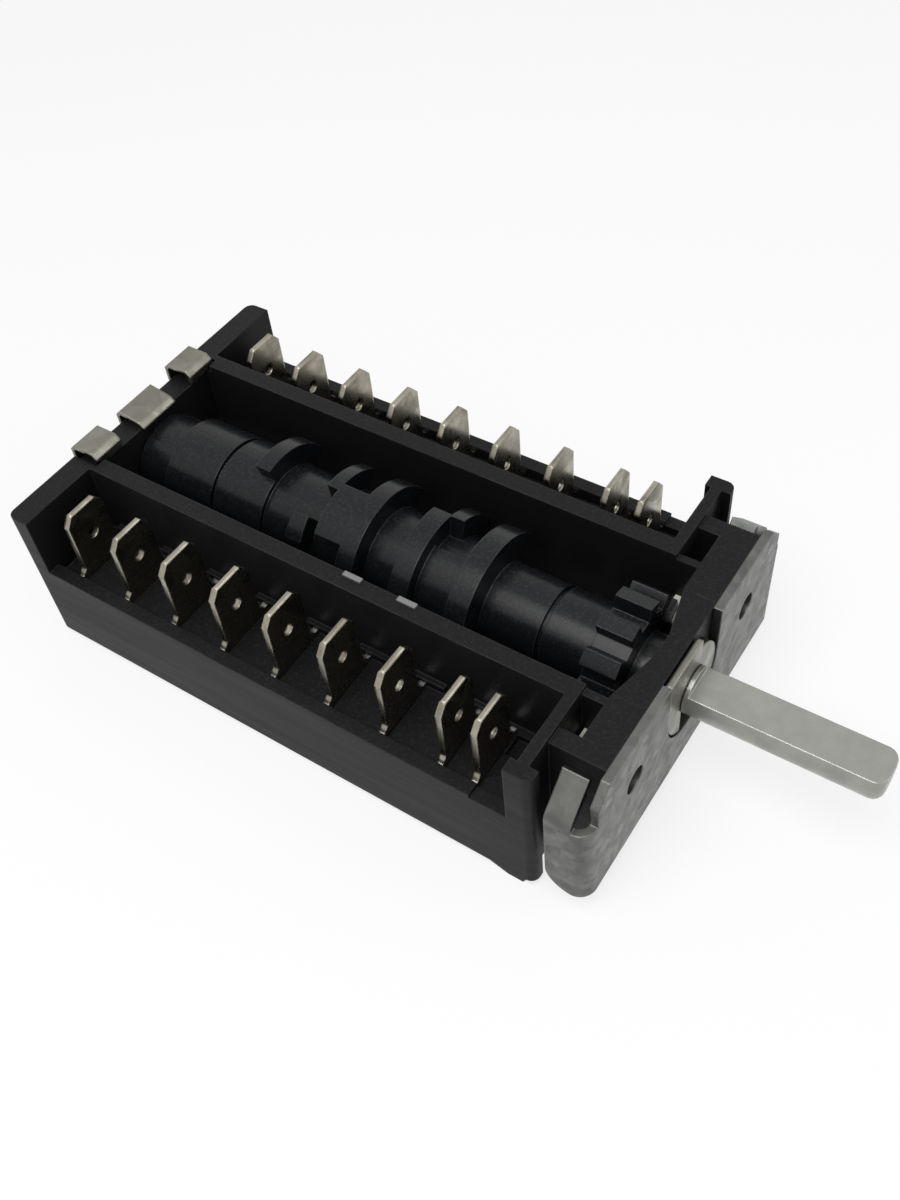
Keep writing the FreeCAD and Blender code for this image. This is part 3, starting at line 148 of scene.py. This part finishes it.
# Flow marks change the gloss a little, and they stand in the relief beside the grain.
finish = nodes.new("ShaderNodeMapRange")
finish.inputs["To Min"].default_value = -0.10
finish.inputs["To Max"].default_value = 0.12
links.new(flow.outputs["Fac"], finish.inputs["Value"])
gloss = nodes.new("ShaderNodeMath")
gloss.operation = "ADD"
gloss.use_clamp = True
links.new(given.outputs["Roughness"], gloss.inputs[0])
links.new(finish.outputs["Result"], gloss.inputs[1])
links.new(gloss.outputs["Value"], result.inputs["Roughness"])
flow_share = 0.35
relief = nodes.new("ShaderNodeMath")
relief.operation = "MULTIPLY_ADD"
relief.inputs[1].default_value = flow_share
links.new(flow.outputs["Fac"], relief.inputs[0])
links.new(grain.outputs["Fac"], relief.inputs[2])
pressed = nodes.new("ShaderNodeBump")
pressed.inputs["Distance"].default_value = 0.00004
links.new(given.outputs["Grain depth"], pressed.inputs["Strength"])
links.new(relief.outputs["Value"], pressed.inputs["Height"])
links.new(rounded.outputs["Normal"], pressed.inputs["Normal"])
links.new(pressed.outputs["Normal"], result.inputs["Normal"])


def dress_moulding(name, parts, colour, rubbed, dust_colour, roughness, grain_depth, rubbing,
                   dust, specular):
    """Makes the material of a moulding, puts it on the parts and returns it."""
    look = bpy.data.materials.new(name)
    look.use_nodes = True
    skin = look.node_tree.nodes["Principled BSDF"]
    skin.inputs["Specular IOR Level"].default_value = specular
    effect = look.node_tree.nodes.new("ShaderNodeGroup")
    effect.name = "Surface"
    effect.node_tree = moulded
    for label, value in (("Colour", colour + (1,)), ("Rubbed colour", rubbed + (1,)),
                         ("Dust colour", dust_colour + (1,)), ("Roughness", roughness),
                         ("Grain depth", grain_depth), ("Rubbing", rubbing), ("Dust", dust)):
        effect.inputs[label].default_value = value
    for source, target in (("Colour", "Base Color"), ("Roughness", "Roughness"),
                           ("Normal", "Normal")):
        look.node_tree.links.new(effect.outputs[source], skin.inputs[target])
    for part in parts:
        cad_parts[part].data.materials.clear()
        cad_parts[part].data.materials.append(look)
    return look


housing_look = dress_moulding(
    "housing_black", ("housing", "front_bearing_cap"), colour=(0.0062, 0.0062, 0.0064),
    rubbed=(0.055, 0.055, 0.06), dust_colour=(0.16, 0.155, 0.15), roughness=0.46,
    grain_depth=0.4, rubbing=0.7, dust=0.07, specular=0.13)
dress_moulding(
    "cover_black", ("bottom_cover",), colour=(0.012, 0.012, 0.0125),
    rubbed=(0.055, 0.055, 0.06), dust_colour=(0.16, 0.155, 0.15), roughness=0.5,
    grain_depth=0.4, rubbing=0.7, dust=0.03, specular=0.13)

# Faces above 8.12 mm, where the two nubs on the left wall stand highest, get a painted pale
# highlight.
nodes, links = housing_look.node_tree.nodes, housing_look.node_tree.links
place = nodes.new("ShaderNodeTexCoord")
height = nodes.new("ShaderNodeSeparateXYZ")
nub_glint_mask = nodes.new("ShaderNodeMapRange")
nub_glint_mask.inputs["From Min"].default_value = 0.00812
nub_glint_mask.inputs["From Max"].default_value = 0.0083
painted_nub_highlight = nodes.new("ShaderNodeMix")
painted_nub_highlight.data_type = "RGBA"
painted_nub_highlight.inputs["B"].default_value = (0.2, 0.2, 0.2, 1)
links.new(place.outputs["Object"], height.inputs["Vector"])
links.new(height.outputs["Z"], nub_glint_mask.inputs["Value"])
links.new(nub_glint_mask.outputs["Result"], painted_nub_highlight.inputs["Factor"])
links.new(nodes["Surface"].outputs["Colour"], painted_nub_highlight.inputs["A"])
links.new(painted_nub_highlight.outputs["Result"], nodes["Principled BSDF"].inputs["Base Color"])

# Cam drum: one moulding of a blue-black plastic, smoother than the housing, so its cams and steps
# carry long soft highlights. It turns on its own journals in the housing, driven by the shaft.
dress_moulding(
    "drum_black", ("cam_drum",), colour=(0.0042, 0.0048, 0.0058), rubbed=(0.06, 0.064, 0.072),
    dust_colour=(0.22, 0.22, 0.22), roughness=0.27, grain_depth=0.3, rubbing=0.6, dust=0.08,
    specular=0.25)

# Detent plungers: two small mouldings of a pale slippery plastic. They slide in the front block's
# pockets, and their noses lie between the teeth of the drum's index wheel.
dress_moulding(
    "plunger_white", ("detent_plunger_left", "detent_plunger_right"), colour=(0.62, 0.6, 0.54),
    rubbed=(0.45, 0.43, 0.38), dust_colour=(0.4, 0.38, 0.34), roughness=0.45, grain_depth=0.2,
    rubbing=0.5, dust=0.1, specular=0.5)

# Mounting bracket: one piece of sheet steel, folded back round the housing's front block with a lug
# bent in at each side, and zinc plated. The plate is grey with a cool mottled bloom.

# The surface of every metal piece is one shared effect: drawn lines along one direction, crystal
# bloom, dull spots, and edges painted bright as a painted highlight where they catch the light.
metal = bpy.data.node_groups.new("metal_surface", "ShaderNodeTree")
for label, kind, start in (("Colour", "NodeSocketColor", (0.5, 0.5, 0.5, 1)),
                           ("Dull colour", "NodeSocketColor", (0.3, 0.3, 0.3, 1)),
                           ("Roughness", "NodeSocketFloat", 0.3),
                           ("Spread", "NodeSocketFloat", 0.2),
                           ("Line scale", "NodeSocketVector", (900, 900, 900)),
                           ("Line depth", "NodeSocketFloat", 0.2),
                           ("Bloom scale", "NodeSocketFloat", 250),
                           ("Bloom", "NodeSocketFloat", 0.5),
                           ("Edge radius", "NodeSocketFloat", 0.00016)):
    socket = metal.interface.new_socket(label, in_out="INPUT", socket_type=kind)
    socket.default_value = start
for label, kind in (("Colour", "NodeSocketColor"), ("Roughness", "NodeSocketFloat"),
                    ("Normal", "NodeSocketVector")):
    metal.interface.new_socket(label, in_out="OUTPUT", socket_type=kind)
nodes, links = metal.nodes, metal.links
given = nodes.new("NodeGroupInput")
result = nodes.new("NodeGroupOutput")
place = nodes.new("ShaderNodeTexCoord")
shape = nodes.new("ShaderNodeNewGeometry")
drawn = nodes.new("ShaderNodeVectorMath")
drawn.operation = "MULTIPLY"
links.new(place.outputs["Object"], drawn.inputs[0])
links.new(given.outputs["Line scale"], drawn.inputs[1])
lines = nodes.new("ShaderNodeTexNoise")
lines.inputs["Scale"].default_value = 1
lines.inputs["Detail"].default_value = 4
links.new(drawn.outputs["Vector"], lines.inputs["Vector"])

# The mottle mixes flat crystals of the plate with cloudy dull spots.
bloom = nodes.new("ShaderNodeTexVoronoi")
links.new(place.outputs["Object"], bloom.inputs["Vector"])
links.new(given.outputs["Bloom scale"], bloom.inputs["Scale"])
spots = nodes.new("ShaderNodeTexNoise")
spots.inputs["Scale"].default_value = 420
spots.inputs["Detail"].default_value = 5
links.new(place.outputs["Object"], spots.inputs["Vector"])
bloom_value = nodes.new("ShaderNodeRGBToBW")
links.new(bloom.outputs["Color"], bloom_value.inputs["Color"])
blend = nodes.new("ShaderNodeMix")
links.new(given.outputs["Bloom"], blend.inputs["Factor"])
links.new(spots.outputs["Fac"], blend.inputs["A"])
links.new(bloom_value.outputs["Val"], blend.inputs["B"])
mottle = nodes.new("ShaderNodeMapRange")
mottle.inputs["From Min"].default_value = 0.3
mottle.inputs["From Max"].default_value = 0.75
links.new(blend.outputs["Result"], mottle.inputs["Value"])

# Edges are painted bright, a painted highlight, as the mottle's best places are.
rounded = nodes.new("ShaderNodeBevel")
rounded.samples = 6
links.new(given.outputs["Edge radius"], rounded.inputs["Radius"])
agree = nodes.new("ShaderNodeVectorMath")
agree.operation = "DOT_PRODUCT"
links.new(rounded.outputs["Normal"], agree.inputs[0])
links.new(shape.outputs["Normal"], agree.inputs[1])
edge = nodes.new("ShaderNodeMapRange")
edge.inputs["From Min"].default_value = 0.99
edge.inputs["From Max"].default_value = 0.85
links.new(agree.outputs["Value"], edge.inputs["Value"])
painted_highlight_and_mottle = nodes.new("ShaderNodeMath")
painted_highlight_and_mottle.operation = "MAXIMUM"
links.new(edge.outputs["Result"], painted_highlight_and_mottle.inputs[0])
links.new(mottle.outputs["Result"], painted_highlight_and_mottle.inputs[1])
tint = nodes.new("ShaderNodeMix")
tint.data_type = "RGBA"
links.new(painted_highlight_and_mottle.outputs["Value"], tint.inputs["Factor"])
links.new(given.outputs["Dull colour"], tint.inputs["A"])
links.new(given.outputs["Colour"], tint.inputs["B"])
links.new(tint.outputs["Result"], result.inputs["Colour"])

# Dull spots are rougher than the given value and bright places are smoother.
middle_mottle = 0.55
shift = nodes.new("ShaderNodeMath")
shift.operation = "SUBTRACT"
shift.inputs[0].default_value = middle_mottle
links.new(mottle.outputs["Result"], shift.inputs[1])
polish = nodes.new("ShaderNodeMath")
polish.operation = "MULTIPLY_ADD"
polish.use_clamp = True
links.new(shift.outputs["Value"], polish.inputs[0])
links.new(given.outputs["Spread"], polish.inputs[1])
links.new(given.outputs["Roughness"], polish.inputs[2])
links.new(polish.outputs["Value"], result.inputs["Roughness"])
scored = nodes.new("ShaderNodeBump")
scored.inputs["Distance"].default_value = 0.00003
links.new(given.outputs["Line depth"], scored.inputs["Strength"])
links.new(lines.outputs["Fac"], scored.inputs["Height"])
links.new(rounded.outputs["Normal"], scored.inputs["Normal"])
links.new(scored.outputs["Normal"], result.inputs["Normal"])


def dress_metal(name, parts, colour, dull, roughness, spread, line_scale, line_depth,
                bloom_scale, bloom_share, edge_radius):
    """Makes the material of a metal piece, puts it on the parts and returns it."""
    look = bpy.data.materials.new(name)
    look.use_nodes = True
    skin = look.node_tree.nodes["Principled BSDF"]
    skin.inputs["Metallic"].default_value = 1
    effect = look.node_tree.nodes.new("ShaderNodeGroup")
    effect.name = "Surface"
    effect.node_tree = metal
    for label, value in (("Colour", colour + (1,)), ("Dull colour", dull + (1,)),
                         ("Roughness", roughness), ("Spread", spread),
                         ("Line scale", line_scale), ("Line depth", line_depth),
                         ("Bloom scale", bloom_scale), ("Bloom", bloom_share),
                         ("Edge radius", edge_radius)):
        effect.inputs[label].default_value = value
    for source, target in (("Colour", "Base Color"), ("Roughness", "Roughness"),
                           ("Normal", "Normal")):
        look.node_tree.links.new(effect.outputs[source], skin.inputs[target])
    for part in parts:
        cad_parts[part].data.materials.clear()
        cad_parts[part].data.materials.append(look)
    return look


dress_metal(
    "zinc_plate", ("mounting_bracket",), colour=(0.165, 0.168, 0.157), dull=(0.1, 0.103, 0.096),
    roughness=0.40, spread=0.16, line_scale=(1400, 1400, 700), line_depth=0.35, bloom_scale=900,
    bloom_share=0.3, edge_radius=0.00025)

# Shaft clip and rear spring clip, with the detent springs' strip: spring steel, stamped and bent.
# The shaft clip lies in the shaft's groove. The rear clip stands behind the rear wall, and its
# two arched fingers and its tongue reach over the wall's top.
dress_metal(
    "clip_plate",
    ("shaft_clip", "rear_spring_clip", "detent_spring_left", "detent_spring_right"),
    colour=(0.26, 0.252, 0.215), dull=(0.17, 0.163, 0.135), roughness=0.32, spread=0.2,
    line_scale=(900, 900, 300), line_depth=0.25, bloom_scale=300, bloom_share=0.3,
    edge_radius=0.0005)

# Terminals and bus bars: brass strip, stamped to blades with two shoulders and tin plated. Each one
# is pushed through its slot until the shoulders stand on the deck.
poles = range(1, 9)
blades = ["bus_bar_left", "bus_bar_right"]
blades += ["terminal_%s_%d" % (side, pole) for side in ("left", "right") for pole in poles]
blade_look = dress_metal(
    "tin_plate", blades, colour=(0.42, 0.39, 0.32), dull=(0.17, 0.155, 0.12), roughness=0.26,
    spread=0.2, line_scale=(1200, 1200, 260), line_depth=0.22, bloom_scale=300,
    bloom_share=0.25, edge_radius=0.0004)

# The shoulders' tops just above the deck, on faces that look up, carry a painted near-white
# highlight.
nodes, links = blade_look.node_tree.nodes, blade_look.node_tree.links
place = nodes.new("ShaderNodeTexCoord")
height = nodes.new("ShaderNodeSeparateXYZ")
low = nodes.new("ShaderNodeMapRange")
low.inputs["From Min"].default_value = -0.0015
low.inputs["From Max"].default_value = -0.0017
surface = nodes.new("ShaderNodeNewGeometry")
facing = nodes.new("ShaderNodeSeparateXYZ")
painted_shoulder_glint = nodes.new("ShaderNodeMath")
painted_shoulder_glint.operation = "MULTIPLY"
painted_shoulder_glint.use_clamp = True
# This mix lays the painted highlight over the plate's mottled colour.
painted_highlight_and_mottle = nodes.new("ShaderNodeMix")
painted_highlight_and_mottle.data_type = "RGBA"
painted_highlight_and_mottle.inputs["B"].default_value = (0.9, 0.89, 0.86, 1)
links.new(place.outputs["Object"], height.inputs["Vector"])
links.new(height.outputs["Z"], low.inputs["Value"])
links.new(surface.outputs["True Normal"], facing.inputs["Vector"])
links.new(facing.outputs["Z"], painted_shoulder_glint.inputs[0])
links.new(low.outputs["Result"], painted_shoulder_glint.inputs[1])
links.new(painted_shoulder_glint.outputs["Value"], painted_highlight_and_mottle.inputs["Factor"])
links.new(nodes["Surface"].outputs["Colour"], painted_highlight_and_mottle.inputs["A"])
links.new(painted_highlight_and_mottle.outputs["Result"], nodes["Principled BSDF"].inputs["Base Color"])

# Contact leaves: strips of bare spring bronze. Each one is held at its terminal's foot and reaches
# through the trough's wall to the cams, which press it down.
dress_metal(
    "leaf_bronze",
    ["contact_leaf_%s_%d" % (side, pole) for side in ("left", "right") for pole in poles],
    colour=(0.62, 0.42, 0.25), dull=(0.42, 0.27, 0.16), roughness=0.32, spread=0.18,
    line_scale=(260, 1200, 1200), line_depth=0.2, bloom_scale=300, bloom_share=0.2,
    edge_radius=0.00016)

# Contacts: round buttons of a silver alloy, welded under the leaves and on the bus bars, where a
# leaf and its bar meet.
dress_metal(
    "contact_metal",
    ("leaf_contacts_left", "leaf_contacts_right", "bus_contacts_left", "bus_contacts_right"),
    colour=(0.78, 0.77, 0.74), dull=(0.5, 0.48, 0.44), roughness=0.25, spread=0.15,
    line_scale=(900, 900, 900), line_depth=0.15, bloom_scale=500, bloom_share=0.2,
    edge_radius=0.00016)

# Shaft: plated steel bar, turned with a rounded end and a groove for its clip, then milled flat for
# the knob up to the bracket's face and again inside the drum's bore. It turns with the drum.
shaft_look = dress_metal(
    "shaft_plate", ("shaft",), colour=(0.36, 0.36, 0.335), dull=(0.29, 0.29, 0.27),
    roughness=0.3, spread=0.16, line_scale=(1500, 120, 1500), line_depth=0.3, bloom_scale=380,
    bloom_share=0.0, edge_radius=0.00016)
bar_radius = 0.003
bar_tip = -0.0232
bar_rear = 0.030
end_rounding = 0.0014
arc_steps = 4
turning_steps = 72
groove_front = 0.00005
groove_rear = 0.00105
groove_radius = 0.0025
flat_height = 0.0016
knob_flat_rear = -0.0005
bore_flat_front = 0.011
same_point = 1e-6
same_level = 1e-7
sharp_turn = math.radians(35)
outline = [(bar_tip, 0)]
for step in range(arc_steps + 1):
    turn = math.radians(90 - 90 * step / arc_steps)
    outline.append((bar_tip + end_rounding * (1 - math.sin(turn)),
                    bar_radius - end_rounding * (1 - math.cos(turn))))
outline += [(knob_flat_rear, bar_radius), (groove_front, bar_radius),
            (groove_front, groove_radius), (groove_rear, groove_radius),
            (groove_rear, bar_radius), (bore_flat_front, bar_radius), (bar_rear, bar_radius),
            (bar_rear, 0)]
bar = bmesh.new()
points = [bar.verts.new((0, y, z)) for y, z in outline]
profile = [bar.edges.new(pair) for pair in zip(points, points[1:])]
bmesh.ops.spin(bar, geom=points + profile, cent=(0, 0, 0), axis=(0, 1, 0), dvec=(0, 0, 0),
               angle=math.tau, steps=turning_steps, use_merge=True)
bmesh.ops.remove_doubles(bar, verts=bar.verts[:], dist=same_point)
for front, rear, shoulder in ((bar_tip, knob_flat_rear, knob_flat_rear),
                              (bore_flat_front, bar_rear, bore_flat_front)):
    # The part above the flat's level is cut off, and the flat and its shoulder are closed.
    between = [face for face in bar.faces if front < face.calc_center_median().y < rear]
    rims = {edge for face in between for edge in face.edges}
    corners = {vert for face in between for vert in face.verts}
    bmesh.ops.bisect_plane(bar, geom=between + list(rims) + list(corners),
                           plane_co=(0, 0, flat_height), plane_no=(0, 0, 1))
    above = [face for face in bar.faces
             if front - same_point <= face.calc_center_median().y < rear
             and face.calc_center_median().z > flat_height + same_level]
    bmesh.ops.delete(bar, geom=above, context="FACES")
    ends = [vert for vert in bar.verts if abs(vert.co.y - shoulder) < same_level
            and abs(vert.co.z - flat_height) < same_level]
    bmesh.ops.contextual_create(bar, geom=ends)
    open_rims = [edge for edge in bar.edges if len(edge.link_faces) < 2]
    level_rims = [edge for edge in open_rims
                  if all(abs(vert.co.z - flat_height) < same_level for vert in edge.verts)]
    bmesh.ops.contextual_create(bar, geom=level_rims)
    open_rims = [edge for edge in bar.edges if len(edge.link_faces) < 2]
    bmesh.ops.contextual_create(bar, geom=open_rims)
bmesh.ops.recalc_face_normals(bar, faces=bar.faces[:])

# Points and faces are put in order, so that every run gives the same mesh.
order = sorted(bar.verts, key=lambda vert: ([round(value, 7) for value in vert.co],
                                            len(vert.link_faces)))
number = {vert: index for index, vert in enumerate(order)}
faces = []
for face in bar.faces:
    ring = [number[vert] for vert in face.verts]
    start = ring.index(min(ring))
    faces.append(ring[start:] + ring[:start])
mesh = bpy.data.meshes.new("turned_shaft")
mesh.from_pydata([vert.co for vert in order], [], sorted(faces))
bar.free()
mesh.shade_smooth()
mesh.set_sharp_from_angle(angle=sharp_turn)
turned_shaft = bpy.data.objects.new("turned_shaft", mesh)
bpy.context.collection.objects.link(turned_shaft)
turned_shaft.data.materials.append(shaft_look)
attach(turned_shaft, "drum")
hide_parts("shaft")

# Detent springs: a hairpin of spring strip stands in each pocket, bent from flat steel and dropped
# in from above. In the switch its inner leg follows the plunger and its outer leg stays at the
# pocket's wall, so the hairpin closes as the plunger slides out. Here each spring's mesh is only
# copied as it is into an object of its own, and the spring part is hidden.
for word in ("left", "right"):
    low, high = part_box("detent_spring_" + word)
    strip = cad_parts["detent_spring_" + word].data.copy()
    hairpin = bpy.data.objects.new("hairpin_" + word, strip)
    bpy.context.collection.objects.link(hairpin)
    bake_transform(hairpin)
    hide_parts("detent_spring_" + word)

# Floor: a plain pale sheet just under the housing, whose lowest faces are its two front feet. It
# shows white to the camera and in the metal, and it keeps a faint shadow of the switch.
floor_level = -0.01505
floor_side = 4
white_share = 0.75


def seen_rays(tree):
    """A value of 1 for rays of the camera, in mirrors and through glass, and of 0 for others."""
    ray = tree.nodes.new("ShaderNodeLightPath")
    mirrored = tree.nodes.new("ShaderNodeMath")
    mirrored.operation = "MAXIMUM"
    tree.links.new(ray.outputs["Is Glossy Ray"], mirrored.inputs[0])
    tree.links.new(ray.outputs["Is Transmission Ray"], mirrored.inputs[1])
    shown = tree.nodes.new("ShaderNodeMath")
    shown.operation = "MAXIMUM"
    tree.links.new(ray.outputs["Is Camera Ray"], shown.inputs[0])
    tree.links.new(mirrored.outputs["Value"], shown.inputs[1])
    return shown.outputs["Value"]


bpy.ops.mesh.primitive_plane_add(size=floor_side, location=(0, 0.03, floor_level))
floor = bpy.context.object
floor.name = "floor"
look = bpy.data.materials.new("floor_white")
look.use_nodes = True
tree = look.node_tree
tree.nodes.clear()
sheet = tree.nodes.new("ShaderNodeBsdfDiffuse")
sheet.inputs["Color"].default_value = (0.85, 0.85, 0.85, 1)
lit = tree.nodes.new("ShaderNodeEmission")
lit.inputs["Color"].default_value = (1, 1, 1, 1)
lit.inputs["Strength"].default_value = 1
share = tree.nodes.new("ShaderNodeMath")
share.operation = "MULTIPLY"
share.inputs[1].default_value = white_share
tree.links.new(seen_rays(tree), share.inputs[0])
seen = tree.nodes.new("ShaderNodeMixShader")
out = tree.nodes.new("ShaderNodeOutputMaterial")
tree.links.new(share.outputs["Value"], seen.inputs["Fac"])
tree.links.new(sheet.outputs["BSDF"], seen.inputs[1])
tree.links.new(lit.outputs["Emission"], seen.inputs[2])
tree.links.new(seen.outputs["Shader"], out.inputs["Surface"])
floor.data.materials.append(look)

# Light: an even pale room that shows white, one broad soft lamp high on the switch's left, where
# the camera stands too, and a weak one at the front right.
world = bpy.data.worlds.new("room")
bpy.context.scene.world = world
world.use_nodes = True
tree = world.node_tree
tree.nodes.clear()
room = tree.nodes.new("ShaderNodeBackground")
room.inputs["Color"].default_value = (1, 1, 0.99, 1)
room.inputs["Strength"].default_value = 0.45
plain = tree.nodes.new("ShaderNodeBackground")
plain.inputs["Color"].default_value = (1, 1, 1, 1)
plain.inputs["Strength"].default_value = 1
seen = tree.nodes.new("ShaderNodeMixShader")
out = tree.nodes.new("ShaderNodeOutputWorld")
tree.links.new(seen_rays(tree), seen.inputs["Fac"])
tree.links.new(room.outputs["Background"], seen.inputs[1])
tree.links.new(plain.outputs["Background"], seen.inputs[2])
tree.links.new(seen.outputs["Shader"], out.inputs["Surface"])
for name, spot, aim, wide, power in (("left", (-0.17, 0.02, 0.40), (0, 0.04, 0), 0.3, 1.5),
                                     ("front", (0.16, -0.34, 0.26), (0, 0, 0), 0.25, 0.35)):
    lamp = bpy.data.lights.new(name, "AREA")
    lamp.size = wide
    lamp.energy = power
    holder = bpy.data.objects.new(name, lamp)
    holder.location = spot
    holder.rotation_euler = (Vector(aim) - Vector(spot)).to_track_quat("-Z", "Y").to_euler()
    bpy.context.collection.objects.link(holder)

# Camera: where the photograph was taken from, above the switch's left front corner. Its place,
# turn and focal length were solved together from the bracket's holes, the shaft and the blades.
photo_height = 1200
focal_pixels = 1231.959
film_height = 36
lens = bpy.data.cameras.new("camera")
lens.sensor_fit = "VERTICAL"
lens.sensor_height = film_height
lens.lens = focal_pixels * film_height / photo_height
lens.clip_start = 0.005
camera = bpy.data.objects.new("camera", lens)
viewpoint = (-0.0787726, -0.0293929, 0.1166012)
right = Vector((0.5481510, -0.8327581, -0.0777457))
up = Vector((0.6704388, 0.3819188, 0.6361210))
back = right.cross(up)
turned = Matrix((right, up, back)).transposed().to_4x4()
camera.matrix_world = Matrix.Translation(viewpoint) @ turned
bpy.context.collection.objects.link(camera)
bpy.context.scene.camera = camera
bpy.context.scene.view_settings.view_transform = "Standard"
